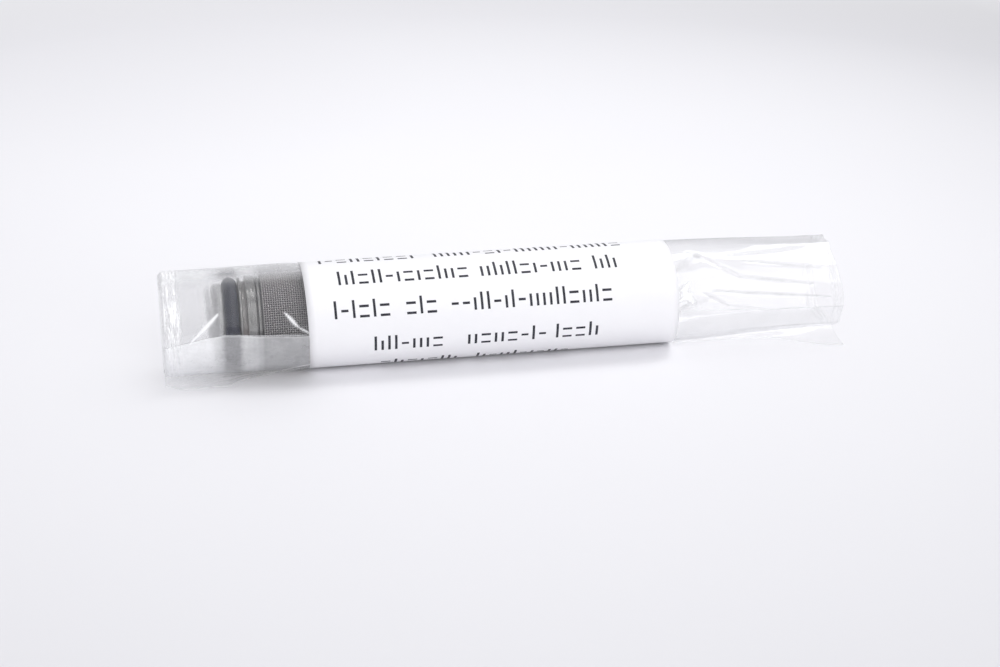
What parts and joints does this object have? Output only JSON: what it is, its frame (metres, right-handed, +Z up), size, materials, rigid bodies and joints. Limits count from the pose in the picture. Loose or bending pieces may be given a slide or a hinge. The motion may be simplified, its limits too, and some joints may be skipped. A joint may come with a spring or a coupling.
{
  "type": "mesh filter cartridge in a film sleeve",
  "caption": "Cylindrical woven-mesh filter cartridge with a grooved outlet cap and O-ring, lying in a clear rolled film sleeve under a plain wrap label.",
  "frame": {"origin": "on the table, straight below the cartridge's axis, at the middle of the sleeve's length", "axes": "+X along the cartridge, away from its outlet; +Z up; the sleeve's free edges lie towards -Y"},
  "size_m": [0.1178, 0.0188, 0.0179],
  "materials": {
    "turned_steel": "turned, bright",
    "seal_rubber": "moulded, satin",
    "core_steel": "rolled and slotted",
    "cloth_steel": "fine woven cloth",
    "mesh_steel": "woven wire",
    "clear_film": "clear, glossy, slightly hazy",
    "label_paper": "matt, coated"
  },
  "bodies": {
    "root": {"outlet_cap": "turned_steel", "outlet_o_ring": "seal_rubber", "blind_cap": "turned_steel", "support_core": "core_steel", "filter_cloth": "cloth_steel", "guard_mesh": "mesh_steel", "clear_sleeve": "clear_film", "wrap_label": "label_paper"}
  },
  "joints": []
}
